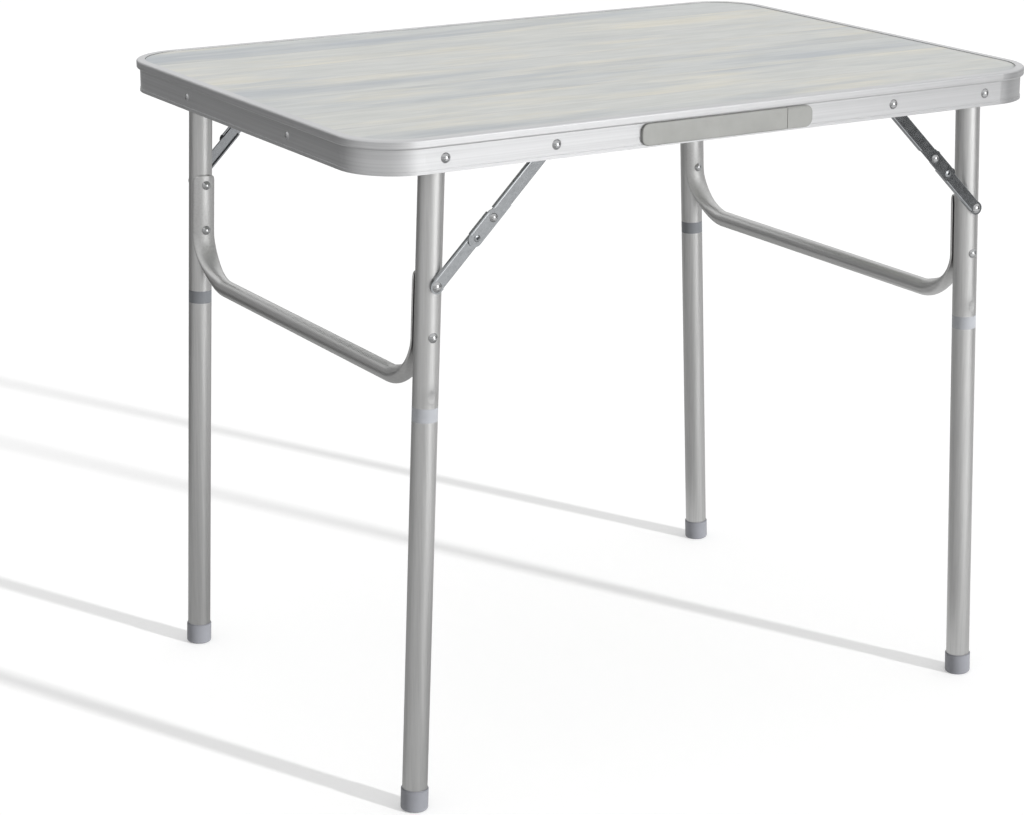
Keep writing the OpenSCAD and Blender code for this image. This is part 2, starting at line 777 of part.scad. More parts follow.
// Foot cap: a moulded cup on the tube, with a rounded edge and a sole level with the floor
module foot(right, back) {
  rim = 0.8;
  color(plastic_colour) quarter(right, back) difference() {
    leg_frame() translate([0, -leg_y, -leg_l - 1]) rotate_extrude() difference() {
      union() {
        translate([0, 1 + foot_round])
          square([foot_d / 2, foot_h - foot_round - rim]);
        square([foot_d / 2 - foot_round, foot_h]);
        translate([0, 1 + foot_h - rim]) square([foot_d / 2 - rim / 2, rim]);
        translate([foot_d / 2 - foot_round, 1 + foot_round])
          intersection() {
            circle(r = foot_round, $fn = 32);
            translate([0, -foot_round]) square(foot_round);
          }
        square([foot_d / 2 - foot_round, 1 + foot_round]);
      }
      translate([0, 1 + sole_t - run_gap]) square([leg_r + run_gap, foot_h + past]);
    }
    translate([-top_l, -top_w, -foot_h]) cube([2 * top_l, 2 * top_w, foot_h]);
  }
}

// A strip with round ends along +X between two pivots, and from y_in to y_out
module link_strip(from, to, w, y_in, y_out) {
  translate([0, -y_in, 0]) rotate([90, 0, 0]) linear_extrude(height = y_out - y_in) {
    translate([from, -w / 2]) square([to - from, w]);
    for (x = [from, to]) translate([x, 0]) circle(d = w);
  }
}

// A flange along a link: side is -1 towards the leg's pivot, 1 away from it
module link_flange(from, to, inner, side, y_in, y_out) {
  z0 = side > 0 ? inner : -inner - link_t;
  translate([from, -y_out, z0]) cube([to - from, y_out - y_in, link_t]);
}

// Rounds the fold between a link's web and its flange, whose outer face is at half
module fold_round(from, to, half, side, y_face) {
  translate([from, 0, 0]) rotate([90, 0, 90]) linear_extrude(height = to - from)
    difference() {
      translate([-y_face - past, side > 0 ? half - fold_r : -half - past])
        square(fold_r + past);
      translate([fold_r - y_face, side * (half - fold_r)]) circle(r = fold_r, $fn = 32);
    }
}

// Upper link: a channel. Its flanges end above the middle pivot, so that the lower link can
// swing out there when the legs fold. On the leg pivot's side a stop tab with a flange of
// its own holds the lower link in line when the brace is straight.
module upper_link(right, back) {
  end_r = (upper_link_w + tab_out) / 2;
  end_x = upper_link_l + overlap_l - end_r;
  half = upper_link_w / 2;
  clear_x = upper_link_l - lower_link_w / 2 - upper_link_w;
  near_x = upper_link_l - lower_link_w / 2 - flange_gap;
  flange_in = upper_web_out - upper_flange;
  eyelet_d = 6.4;
  eyelet_h = 0.9;
  eyelet_bore = 2.6;
  color(zinc_colour) quarter(right, back) brace_frame() difference() {
    union() {
      link_strip(0, upper_link_l, upper_link_w, upper_web_in, upper_web_out);
      translate([0, 0, -tab_out / 2])
        link_strip(upper_link_l, end_x, 2 * end_r, upper_web_in, upper_web_out);
      link_flange(half, near_x, half - link_t, -1, flange_in, upper_web_out);
      link_flange(half, clear_x, half - link_t, 1, flange_in, upper_web_out);
      link_flange(upper_link_l, end_x, tab_half - link_t, -1, flange_in, upper_web_out);
      translate([upper_link_l + detent_l, 0, 0]) dome_head(eyelet_d, eyelet_h, upper_web_out);
    }
    fold_round(half, near_x, half, -1, upper_web_out);
    fold_round(half, clear_x, half, 1, upper_web_out);
    fold_round(upper_link_l, end_x, tab_half, -1, upper_web_out);
    pin(pivot_rivet_d + 2 * run_gap, upper_web_in - past, upper_web_out + past);
    translate([upper_link_l, 0, 0]) pin(small_rivet_d, upper_web_in - past, upper_web_out + past);
    translate([upper_link_l + detent_l, 0, 0])
      pin(eyelet_bore, upper_web_in - past, upper_web_out + past);
  }
}

// Lower link: a narrower channel that nests in the upper one
module lower_link(right, back) {
  lip_from = upper_link_l + lower_link_w;
  lip_to = brace_span - lower_link_w / 4;
  lip_inner = lower_link_w / 2 - link_t;
  color(zinc_colour) quarter(right, back) brace_frame() difference() {
    union() {
      link_strip(upper_link_l, brace_span, lower_link_w, lower_web_in, lower_web_out);
      for (side = [-1, 1])
        link_flange(lip_from, lip_to, lip_inner, side,
                    lower_web_out - lower_flange, lower_web_out);
    }
    for (side = [-1, 1]) fold_round(lip_from, lip_to, lower_link_w / 2, side, lower_web_out);
    translate([upper_link_l, 0, 0])
      pin(small_rivet_d + 2 * run_gap, lower_web_in - past, lower_web_out + past);
    translate([brace_span, 0, 0]) pin(small_rivet_d, lower_web_in - past, lower_web_out + past);
  }
}

// Rivet of the middle pivot, fast in the upper link
module middle_rivet(right, back) {
  color(rivet_colour) quarter(right, back) brace_frame() translate([upper_link_l, 0, 0]) {
    pin(small_rivet_d, lower_web_in - run_gap, upper_web_out);
    dome_head(middle_head_d, frame_head_h, upper_web_out);
    inner_head(middle_head_d, flat_head_h, lower_web_in - run_gap);
  }
}

// Outer end of the rivet that ties the brace to the leg, cut through beside the leg
module leg_rivet(right, back) {
  head_h = 2;
  cut_gap = 0.4;
  color(rivet_colour) quarter(right, back) brace_frame() translate([brace_span, 0, 0]) {
    pin(small_rivet_d, leg_outer_y + cut_gap, lower_web_out);
    dome_head(pivot_head_d, head_h, lower_web_out);
  }
}

tabletop_panel();
edge_rail();
rail_splice_plate();
splice_rivets();
handle_left_anchor();
handle_strap();
handle_end_cap();
handle_rivets();
leg_pivot_rivets();
leg_spacers();
brace_pivot_rivets();
panel_clips();
clip_rivets();
clip_screws();
upper_leg(false, false);  // left_front_upper_leg
upper_leg(false, true);  // left_back_upper_leg
crossbar(false);  // left_crossbar
frame_rivets(false);  // left_frame_rivets
couplers(false);  // left_couplers
top_plugs(false);  // left_top_plugs
upper_leg(true, false);  // right_front_upper_leg
upper_leg(true, true);  // right_back_upper_leg
crossbar(true);  // right_crossbar
frame_rivets(true);  // right_frame_rivets
couplers(true);  // right_couplers
top_plugs(true);  // right_top_plugs
lower_leg(false, false);  // left_front_lower_leg
foot(false, false);  // left_front_foot
lower_leg(false, true);  // left_back_lower_leg
foot(false, true);  // left_back_foot
lower_leg(true, false);  // right_front_lower_leg
foot(true, false);  // right_front_foot
lower_leg(true, true);  // right_back_lower_leg
foot(true, true);  // right_back_foot
upper_link(false, false);  // left_front_upper_link
lower_link(false, false);  // left_front_lower_link
middle_rivet(false, false);  // left_front_middle_rivet
leg_rivet(false, false);  // left_front_leg_rivet
upper_link(false, true);  // left_back_upper_link
lower_link(false, true);  // left_back_lower_link
middle_rivet(false, true);  // left_back_middle_rivet
leg_rivet(false, true);  // left_back_leg_rivet
upper_link(true, false);  // right_front_upper_link
lower_link(true, false);  // right_front_lower_link
middle_rivet(true, false);  // right_front_middle_rivet
leg_rivet(true, false);  // right_front_leg_rivet
upper_link(true, true);  // right_back_upper_link
lower_link(true, true);  // right_back_lower_link
middle_rivet(true, true);  // right_back_middle_rivet
leg_rivet(true, true);  // right_back_leg_rivet
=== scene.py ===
# %% [markdown]
# # A folding camping table
# The table is a pale printed board in a bright aluminium rail, on two leg frames of satin
# tube that fold under it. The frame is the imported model: its solids are the table's real
# pieces, at their real size and place. This script gives each of them the finish that it has
# on the real table. It makes only the crossbars and the carrying strap again, and it sets up
# a plain studio. Lengths are in metres.

# %% Load the frame
import math

import bpy
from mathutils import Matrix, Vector


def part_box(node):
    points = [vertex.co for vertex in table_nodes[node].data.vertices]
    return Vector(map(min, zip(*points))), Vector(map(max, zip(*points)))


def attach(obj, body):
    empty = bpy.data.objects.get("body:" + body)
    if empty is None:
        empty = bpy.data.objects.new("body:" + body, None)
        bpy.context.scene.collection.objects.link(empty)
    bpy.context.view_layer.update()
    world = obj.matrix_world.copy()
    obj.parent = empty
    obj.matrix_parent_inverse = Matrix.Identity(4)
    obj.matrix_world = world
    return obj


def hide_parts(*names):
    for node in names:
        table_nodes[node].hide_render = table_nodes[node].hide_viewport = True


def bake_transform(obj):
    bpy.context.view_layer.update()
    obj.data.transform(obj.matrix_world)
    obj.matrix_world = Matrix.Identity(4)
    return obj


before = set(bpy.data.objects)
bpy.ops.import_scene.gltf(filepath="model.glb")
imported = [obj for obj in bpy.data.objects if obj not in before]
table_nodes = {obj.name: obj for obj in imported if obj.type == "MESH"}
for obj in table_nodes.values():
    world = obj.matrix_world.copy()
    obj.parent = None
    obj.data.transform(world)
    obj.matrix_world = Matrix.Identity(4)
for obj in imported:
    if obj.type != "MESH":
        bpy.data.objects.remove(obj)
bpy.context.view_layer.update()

# %% [markdown]
# ## The camera
# The picture was taken from the left of the front, a little above the top, with a long lens.
# A long lens keeps the four legs almost parallel. The camera comes first, because every
# finish below is judged through it.

# %% Place the camera
CAMERA_PLACE = (-1.30463, -2.07962, 1.00881)
CAMERA_YAW = -30.70
CAMERA_PITCH = 17.063
LENS_MM = 94.1
SENSOR_MM = 36
FARTHEST_SEEN = 100

camera = bpy.data.objects.new("camera", bpy.data.cameras.new("camera"))
camera.location = CAMERA_PLACE
camera.rotation_euler = (math.radians(90 - CAMERA_PITCH), 0, math.radians(CAMERA_YAW))
camera.data.lens = LENS_MM
camera.data.sensor_width = SENSOR_MM
camera.data.clip_end = FARTHEST_SEEN
bpy.context.scene.collection.objects.link(camera)
bpy.context.scene.camera = camera
bpy.context.scene.view_settings.view_transform = "Standard"
print("camera", CAMERA_PLACE, "lens", LENS_MM)

# %% [markdown]
# ## Building materials in code
# A finish is a small graph of nodes. It could be drawn by hand in the shader editor, but in
# code it can be read, and one function can make many like it. Two short helpers are enough
# for that: one makes a material with its Principled shader, and one adds a node and connects
# or sets its inputs by name.

# %% A finish, and a node in it
def new_finish(name, **settings):
    """A material whose Principled shader has these inputs; returns it, its tree and the shader."""
    finish = bpy.data.materials.new(name)
    finish.use_nodes = True
    tree = finish.node_tree
    shader = tree.nodes["Principled BSDF"]
    for socket, value in settings.items():
        shader.inputs[socket.replace("_", " ")].default_value = value
    return finish, tree, shader


def add(tree, kind, options=None, **inputs):
    """A node of that kind; an input, by name or as i0 and so on, is a value or an output."""
    made = tree.nodes.new("ShaderNode" + kind)
    for option, value in (options or {}).items():
        setattr(made, option, value)
    for socket, value in inputs.items():
        target = made.inputs[int(socket[1:])] if socket[1:].isdigit() else made.inputs[socket]
        if isinstance(value, bpy.types.NodeSocket):
            tree.links.new(value, target)
        else:
            target.default_value = value
    return made


print("finishes and nodes can be made")

# %% [markdown]
# ## The nodes that come again
# Every finish on this table varies a little from place to place, as real surfaces do. The
# place goes into a noise, the noise into a ramp that turns it into tones, and a mix lays one
# tone over another. The place is the object's own, so that the grain stays on a piece when
# the piece folds.

# %% The nodes that every finish needs
def math_node(tree, operation, first, second=0.0, third=0.0):
    """The output of a Math node on up to three values or outputs."""
    return add(tree, "Math", {"operation": operation}, i0=first, i1=second, i2=third).outputs[0]


def mix_colour(tree, factor, first, second, blend="MIX"):
    """A colour mix of two colours or outputs."""
    made = add(tree, "Mix", {"data_type": "RGBA", "blend_type": blend}, Factor=factor)
    for socket, value in ((made.inputs[6], first), (made.inputs[7], second)):
        if isinstance(value, bpy.types.NodeSocket):
            tree.links.new(value, socket)
        else:
            socket.default_value = (*value, 1)
    return made.outputs[2]


def ramp(tree, factor, stops):
    """A colour ramp's output: stops are (position, grey or colour)."""
    made = add(tree, "ValToRGB", Fac=factor)
    elements = made.color_ramp.elements
    while len(elements) < len(stops):
        elements.new(0.5)
    for element, (position, colour) in zip(elements, stops):
        element.position = position
        grey = isinstance(colour, float)
        element.color = (colour, colour, colour, 1) if grey else (*colour, 1)
    return made.outputs["Color"]


def on_table(tree):
    """The place on the table, in metres, which stays with the piece when it moves."""
    return add(tree, "TexCoord").outputs["Object"]


def stretched(tree, x, y, z):
    """The place on the table times a scale of its own along each axis."""
    return add(tree, "Mapping", Vector=on_table(tree), Scale=(x, y, z)).outputs["Vector"]


def noise(tree, vector, detail=4.0, roughness=0.6):
    """A noise texture's grey output."""
    made = add(tree, "TexNoise", Vector=vector, Scale=1.0, Detail=detail, Roughness=roughness)
    return made.outputs["Fac"]


def bump(tree, shader, height, distance):
    """Lets a grey height, in units of distance, tilt the shader's normal."""
    made = add(tree, "Bump", Height=height, Distance=distance, Strength=1.0)
    tree.links.new(made.outputs["Normal"], shader.inputs["Normal"])


print("helpers ready")

# %% [markdown]
# ## The printed board
# The real board is faced with a smooth sheet that is printed as pale, weathered planks. From
# a step away it is one light grey with cream clouds and a few bluish streaks, all drawn out
# along the table, and hardly any contrast. An image could carry such a print, but noise has
# no repeats and stays sharp up close. Each kind of cloud is one noise, stretched along X.

# %% Where the planks lie
PLANK_W = 0.071
PLANK_SHIFT = 0.83


def plank_places(tree):
    """The place across the board in planks, each plank's number, and its place in the print."""
    place = add(tree, "SeparateXYZ", Vector=on_table(tree))
    across = math_node(tree, "DIVIDE", place.outputs["Y"], PLANK_W)
    across = math_node(tree, "ADD", across, 0.5)
    plank = math_node(tree, "FLOOR", across)
    moved_x = math_node(tree, "ADD", place.outputs["X"], math_node(tree, "MULTIPLY", plank, PLANK_SHIFT))
    in_print = add(tree, "CombineXYZ", X=moved_x, Y=place.outputs["Y"]).outputs[0]
    return across, plank, in_print


# %% [markdown]
# ## Clouds, grain and tone
# Every plank takes its clouds from another stretch of the print, so the clouds stop at the
# seams, as they do where real planks meet. A white noise on the plank's number also gives
# each plank a tone of its own, a little warmer or cooler. Two finer noises are the grain.

# %% The print's colours
BOARD_GREY = (0.578, 0.590, 0.578)
CREAM = (0.665, 0.645, 0.572)
BLUE_GREY = (0.42, 0.45, 0.482)
CREAM_CLOUDS = {"along": 4.5, "across": 22, "detail": 4.0, "roughness": 0.60}
BLUE_STREAKS = {"along": 1.9, "across": 13, "detail": 4.0, "roughness": 0.62, "shift": (5.3, 2.7, 0)}
BROAD_GRAIN = {"along": 14, "across": 85, "detail": 5.0, "roughness": 0.62}
FINE_GRAIN = {"along": 30, "across": 420, "detail": 4.0, "roughness": 0.65}
COOL_PLANK = (0.955, 0.965, 0.98)
WARM_PLANK = (1.02, 1.015, 1.0)
TONE_DRAW = 9.5


def drawn_out(tree, in_print, along, across, detail, roughness, shift=(0, 0, 0)):
    """Noise that is stretched along the planks; along and across say how fine it is."""
    scale = (along, across, 1)
    vector = add(tree, "Mapping", Vector=in_print, Scale=scale, Location=shift).outputs["Vector"]
    return noise(tree, vector, detail, roughness)


def clouded(tree, in_print):
    """The board's grey with its cream clouds and bluish streaks."""
    cream = ramp(tree, drawn_out(tree, in_print, **CREAM_CLOUDS), [(0.50, 0.0), (0.66, 0.85)])
    blue = ramp(tree, drawn_out(tree, in_print, **BLUE_STREAKS), [(0.50, 0.0), (0.64, 0.85)])
    return mix_colour(tree, blue, mix_colour(tree, cream, BOARD_GREY, CREAM), BLUE_GREY)


def plank_tone(tree, plank):
    """The tone that one plank has all over, picked by its number."""
    number = math_node(tree, "ADD", plank, TONE_DRAW)
    chance = add(tree, "TexWhiteNoise", {"noise_dimensions": "1D"}, W=number).outputs["Value"]
    return ramp(tree, chance, [(0.1, COOL_PLANK), (0.5, (1.0, 1.0, 1.0)), (0.9, WARM_PLANK)])


print("cream", CREAM, "and blue grey", BLUE_GREY, "on", BOARD_GREY)

# %% [markdown]
# ## Seams and sheen
# Thin faint seams say where one plank ends. They fade in and out, as a print's lines do. The
# sheet is sealed and only a little glossy, so its specular level is low: otherwise the pale
# surroundings would wash the print out at a low angle. The fine grain is also a very low bump.

# %% The board's finish
SEAM_W = 0.0008
SEAM_SHADE = (0.42, 0.41, 0.40)
SEAM_FADING = (6, 40, 1)
GRAIN_DEPTH = 0.00005


def seam_strength(tree, across):
    """How strongly the seam's shade shows: nothing between seams, and a varying share on one."""
    from_seam = math_node(tree, "PINGPONG", across, 0.5)
    seam = math_node(tree, "LESS_THAN", from_seam, SEAM_W / PLANK_W)
    fading = ramp(tree, noise(tree, stretched(tree, *SEAM_FADING)), [(0.38, 0.1), (0.6, 0.5)])
    return math_node(tree, "MULTIPLY", seam, fading)


def plank_print():
    finish, tree, shader = new_finish("plank_print", Roughness=0.42, Specular_IOR_Level=0.25)
    across, plank, in_print = plank_places(tree)
    streaks = drawn_out(tree, in_print, **BROAD_GRAIN)
    grain = drawn_out(tree, in_print, **FINE_GRAIN)
    broad = ramp(tree, streaks, [(0.36, (0.92, 0.925, 0.92)), (0.62, (1.04, 1.035, 1.03))])
    fine = ramp(tree, grain, [(0.3, (0.94, 0.935, 0.925)), (0.6, (1.01, 1.01, 1.01))])
    colour = clouded(tree, in_print)
    for layer in (plank_tone(tree, plank), broad, fine):
        colour = mix_colour(tree, 1.0, colour, layer, "MULTIPLY")
    colour = mix_colour(tree, seam_strength(tree, across), colour, SEAM_SHADE)
    tree.links.new(colour, shader.inputs["Base Color"])
    bump(tree, shader, grain, GRAIN_DEPTH)
    return finish


board_finish = plank_print()
print("board finish:", board_finish.name)

# %% [markdown]
# ## Bare metals
# The rail, the tubes, the braces and the rivets are all bare metal, and differ in how bright
# and how rough they are. An extruded or drawn surface has fine lines along its run: a noise
# that is stretched along that run makes them, in the roughness and as a very low bump. The
# braces are zinc plated, which has no run, so their noise is the same all ways. The braces at
# the back get a darker zinc: painted shade, for the shade they stand in under the table.

# %% Aluminium, zinc and bright rivets
RAIL_ALUMINIUM = (0.64, 0.643, 0.65)
TUBE_ALUMINIUM = (0.60, 0.60, 0.595)
ZINC = (0.355, 0.368, 0.38)
SHADED_ZINC = (0.24, 0.248, 0.258)
RIVET_METAL = (0.47, 0.475, 0.48)
ROUND_THE_RAIL = (2, 2, 430)
ALONG_THE_LEGS = (500, 500, 6)
ALONG_THE_BARS = (500, 5, 500)
ZINC_CRYSTALS = (260, 260, 260)
RIVET_POLISH = (300, 300, 300)
METAL_CLOUDS = (30, 30, 30)


def drawn_metal(name, colour, rough, scales, depth, patch=0.05):
    """Bare metal whose lines are depth high; patch is how much its roughness varies."""
    finish, tree, shader = new_finish(name, Metallic=1.0, Base_Color=(*colour, 1))
    lines = noise(tree, stretched(tree, *scales), detail=6.0, roughness=0.7)
    clouds = noise(tree, stretched(tree, *METAL_CLOUDS), detail=3.0, roughness=0.5)
    lined = math_node(tree, "MULTIPLY_ADD", lines, 2 * patch, rough - patch)
    tree.links.new(math_node(tree, "MULTIPLY_ADD", clouds, patch, lined), shader.inputs["Roughness"])
    darker = tuple(0.85 * c for c in colour)
    tree.links.new(ramp(tree, lines, [(0.3, darker), (0.6, colour)]), shader.inputs["Base Color"])
    bump(tree, shader, lines, depth)
    return finish


rail_finish = drawn_metal("rail_aluminium", RAIL_ALUMINIUM, 0.44, ROUND_THE_RAIL, depth=0.00006)
tube_finish = drawn_metal("tube_aluminium", TUBE_ALUMINIUM, 0.40, ALONG_THE_LEGS, depth=0.00003)
bar_finish = drawn_metal("bar_aluminium", TUBE_ALUMINIUM, 0.34, ALONG_THE_BARS, depth=0.00003)
zinc_finish = drawn_metal("zinc_plate", ZINC, 0.16, ZINC_CRYSTALS, depth=0.00002)
# Painted shade: the back braces' darker zinc stands for the shade under the table.
shaded_zinc = drawn_metal("zinc_plate_painted_shade", SHADED_ZINC, 0.20, ZINC_CRYSTALS, depth=0.00002)
rivet_finish = drawn_metal("bright_rivet", RIVET_METAL, 0.10, RIVET_POLISH, depth=0.00001, patch=0.03)
print("metals:", rail_finish.name, tube_finish.name, bar_finish.name)
print("plated metals:", zinc_finish.name, shaded_zinc.name, rivet_finish.name)

# %% [markdown]
# ## Marks that tools leave
# A crimping tool dents the foot of each upper tube, and a press flattens the ends of the
# crossbars. The forms are in the meshes, but squeezed metal also loses its drawn shine. So
# the finish gets a soft rougher spot there. At the crimps the spot's colour is also mixed
# toward a darker grey: painted shade that tones down the dent's highlight. It is placed once,
# by its distance from a point, and taking each coordinate without its sign repeats it on the
# other three legs.

# %% Dull the metal where tools squeezed it
CRIMP_PLACE = (0.2861, 0.235, 0.3708)
CRIMP_REACH = 0.013
PRESS_PLACE = (0.2845, 0.207, 0.412)
PRESS_REACH = 0.040
GLINT_SHADE_GREY = (0.46, 0.46, 0.46)


def dull_mark(finish, place, reach, rougher, painted_shade_share):
    """A soft rough spot with painted shade in its colour, at a place and its mirrors on the four legs.
    """
    tree = finish.node_tree
    shader = tree.nodes["Principled BSDF"]
    unsigned = add(tree, "VectorMath", {"operation": "ABSOLUTE"}, i0=on_table(tree)).outputs[0]
    away = add(tree, "VectorMath", {"operation": "DISTANCE"}, i0=unsigned, i1=place).outputs["Value"]
    far_share = math_node(tree, "MINIMUM", math_node(tree, "DIVIDE", away, reach), 1.0)
    mark = ramp(tree, math_node(tree, "SUBTRACT", 1.0, far_share), [(0.0, 0.0), (0.6, 1.0)])
    rough = shader.inputs["Roughness"].links[0].from_socket
    colour = shader.inputs["Base Color"].links[0].from_socket
    rough = math_node(tree, "ADD", rough, math_node(tree, "MULTIPLY", mark, rougher))
    # Painted shade: the colour is mixed toward a darker grey, which dims the highlight there.
    colour = mix_colour(tree, math_node(tree, "MULTIPLY", mark, painted_shade_share), colour, GLINT_SHADE_GREY)
    tree.links.new(rough, shader.inputs["Roughness"])
    tree.links.new(colour, shader.inputs["Base Color"])


dull_mark(tube_finish, CRIMP_PLACE, CRIMP_REACH, rougher=0.22, painted_shade_share=0.45)
dull_mark(bar_finish, PRESS_PLACE, PRESS_REACH, rougher=0.16, painted_shade_share=0.0)
print("tool marks within", CRIMP_REACH, "and", PRESS_REACH)

# %% [markdown]
# ## Moulded plastics
# The collars, feet and plugs are a blue-grey polyamide, and the handle is a warmer grey. All
# are smooth mouldings with a faint orange-peel surface and soft, wide highlights: a fine
# noise as a low bump gives the peel, and a broad one keeps the colour from being flat. The
# two collars at the back get painted shade, for the table's shade over them: their colour is
# mixed toward a near black by the place along Y.

# %% Plastics
COLLAR_GREY = (0.31, 0.32, 0.34)
PLUG_GREY = (0.15, 0.156, 0.168)
FOOT_GREY = (0.21, 0.215, 0.235)
HANDLE_GREY = (0.230, 0.232, 0.222)
PEEL = (700, 700, 700)
PEEL_DEPTH = 0.00004
PLASTIC_CLOUDS = (40, 40, 40)
BACK_PAINTED_SHADE = (0.04, 0.045, 0.05)
BACK_SHADE_SHARE = 0.66


def moulded(name, colour, rough):
    """A smooth plastic whose colour varies a little, from darker to lighter."""
    finish, tree, shader = new_finish(name, Base_Color=(*colour, 1), Roughness=rough)
    clouds = noise(tree, stretched(tree, *PLASTIC_CLOUDS), detail=4.0, roughness=0.5)
    darker = tuple(0.9 * c for c in colour)
    lighter = tuple(1.06 * c for c in colour)
    tree.links.new(ramp(tree, clouds, [(0.3, darker), (0.7, lighter)]), shader.inputs["Base Color"])
    bump(tree, shader, noise(tree, stretched(tree, *PEEL), detail=2.0, roughness=0.5), PEEL_DEPTH)
    return finish


def shade_collars_behind(finish):
    """Mixes painted shade into the colour behind the table's middle."""
    tree = finish.node_tree
    shader = tree.nodes["Principled BSDF"]
    front_tone = shader.inputs["Base Color"].links[0].from_socket
    place = add(tree, "SeparateXYZ", Vector=on_table(tree))
    # Painted shade: behind the middle the colour is mixed toward a near black.
    share = math_node(tree, "MULTIPLY", math_node(tree, "GREATER_THAN", place.outputs["Y"]), BACK_SHADE_SHARE)
    tree.links.new(mix_colour(tree, share, front_tone, BACK_PAINTED_SHADE), shader.inputs["Base Color"])


collar_finish = moulded("grey_polyamide", COLLAR_GREY, rough=0.38)
plug_finish = moulded("dark_polyamide", PLUG_GREY, rough=0.38)
foot_finish = moulded("foot_cap_polyamide", FOOT_GREY, rough=0.42)
handle_finish = moulded("handle_plastic", HANDLE_GREY, rough=0.45)
shade_collars_behind(collar_finish)
print("plastics:", collar_finish.name, plug_finish.name, foot_finish.name, handle_finish.name)

# %% [markdown]
# ## Dressing the pieces
# Every solid keeps its own form and only gets its finish. The names of the nodes say what
# each piece is, so a short list of words picks the finish: the first word that a name holds
# counts, and a name with none of them is zinc plated.

# %% Give every node its finish
FINISH_BY_WORD = [
    ("rivet", rivet_finish),
    ("panel_clips", zinc_finish),
    # The back links take the darker zinc, which is painted shade.
    ("back_upper_link", shaded_zinc),
    ("back_lower_link", shaded_zinc),
    ("tabletop_panel", board_finish),
    ("edge_rail", rail_finish),
    ("handle", handle_finish),
    ("crossbar", bar_finish),
    ("upper_leg", tube_finish),
    ("lower_leg", tube_finish),
    ("coupler", collar_finish),
    ("plug", plug_finish),
    ("foot", foot_finish),
]


def dress(piece, finish):
    piece.data.materials.clear()
    piece.data.materials.append(finish)


for node_name, piece in table_nodes.items():
    found = [finish for word, finish in FINISH_BY_WORD if word in node_name]
    dress(piece, found[0] if found else zinc_finish)
print("dressed", len(table_nodes), "pieces")

# %% [markdown]
# ## Lofting
# Two kinds of piece are made here, and both are lofts: the same closed section is drawn at
# many places along the piece, a little changed each time, and neighbouring sections are
# joined by faces. The more a piece bends or swells, the closer its sections stand. Shading is
# smooth, and an edge stays sharp only where faces meet at more than a given angle.

# %% A loft through sections
import bmesh

WELD = 0.000001


def loft(name, sections, sharp_over):
    """A closed piece through sections that all have the same number of points."""
    mesh = bpy.data.meshes.new(name)
    bm = bmesh.new()
    rings = [[bm.verts.new(point) for point in section] for section in sections]
    count = len(rings[0])
    for one, two in zip(rings, rings[1:]):
        for i in range(count):
            j = (i + 1) % count
            bm.faces.new((one[i], one[j], two[j], two[i]))
    bm.faces.new(rings[0])
    bm.faces.new(list(reversed(rings[-1])))
    bmesh.ops.remove_doubles(bm, verts=bm.verts, dist=WELD)
    bmesh.ops.recalc_face_normals(bm, faces=bm.faces)
    for face in bm.faces:
        face.smooth = True
    bm.to_mesh(mesh)
    bm.free()
    mesh.set_sharp_from_angle(angle=math.radians(sharp_over))
    piece = bpy.data.objects.new(name, mesh)
    bpy.context.scene.collection.objects.link(piece)
    return piece


print("loft ready")

# %% [markdown]
# ## The crossbars
# A crossbar is one tube, bent to a U. Each end is pressed to a flat double sheet that is
# curled round its leg, and over the bend it opens again into the round tube. The frame's
# solid has that form in a few steps. Here the section swells slowly and evenly along the
# bend, as a pressed tube does, which gives the soft bulge under the lower rivet. A curve with
# a bevel could give the tube and the bend, but it keeps one section all along.
#
# The section is a superellipse: an ellipse where the tube is open, and nearer to a rectangle
# where it is pressed. Its width gives way a little sooner than its depth grows.

# %% The crossbar's section
LEG_RADIUS = 0.011
LEG_Y = 0.224
TUBE_D = 0.016
PRESSED_T = 0.0028
PRESSED_W = 0.026
SADDLE_PLAY = 0.00015
BEND_OUTER = 0.050
BEND_DEPTH = 0.1565
BEND_MIDDLE = BEND_OUTER - TUBE_D / 2
BEND_Y = LEG_Y - LEG_RADIUS - SADDLE_PLAY - BEND_OUTER
NARROWING = 0.8
SQUARING = 6
SECTION_POINTS = 64


def signed_power(value, power):
    """The power of a value's size, with the value's own sign."""
    return math.copysign(abs(value) ** power, value)


def tube_section(turn, up, opened, narrow=1.0):
    """The section at an angle round the bend or a height above it; opened is 0 pressed, 1 round."""
    depth = PRESSED_T + (TUBE_D - PRESSED_T) * opened
    half_wide = (PRESSED_W + (TUBE_D - PRESSED_W) * opened ** NARROWING) * narrow / 2
    curl = (1 - opened) / (LEG_RADIUS + SADDLE_PLAY + depth / 2)
    squareness = 2 + (1 - opened) ** SQUARING
    section = []
    for i in range(SECTION_POINTS):
        a = 2 * math.pi * i / SECTION_POINTS
        across = half_wide * signed_power(math.cos(a), 2 / squareness)
        through = depth / 2 * signed_power(math.sin(a), 2 / squareness)
        if curl > 0:
            across, through = ((1 / curl - through) * math.sin(across * curl),
                               1 / curl - (1 / curl - through) * math.cos(across * curl))
        reach = BEND_OUTER + through - depth / 2
        y = -BEND_Y - reach * math.cos(turn)
        z = up - BEND_DEPTH - reach * math.sin(turn)
        section.append((across, y, z))
    return section


print("pressed section:", len(tube_section(0, 0, 0)), "points,", PRESSED_W, "wide,", PRESSED_T, "thick")

# %% [markdown]
# ## From the pressed end to the tube
# Half a crossbar runs from the top of one saddle, with its rounded corners, down to the bend
# and on to the tube's middle. The other half is its mirror image, so one loft through both
# makes the whole bar. The opening follows a smooth step along the bend, so the bulge has no
# edge at either end. The bar then leans with its frame and goes to the frame's pivot.

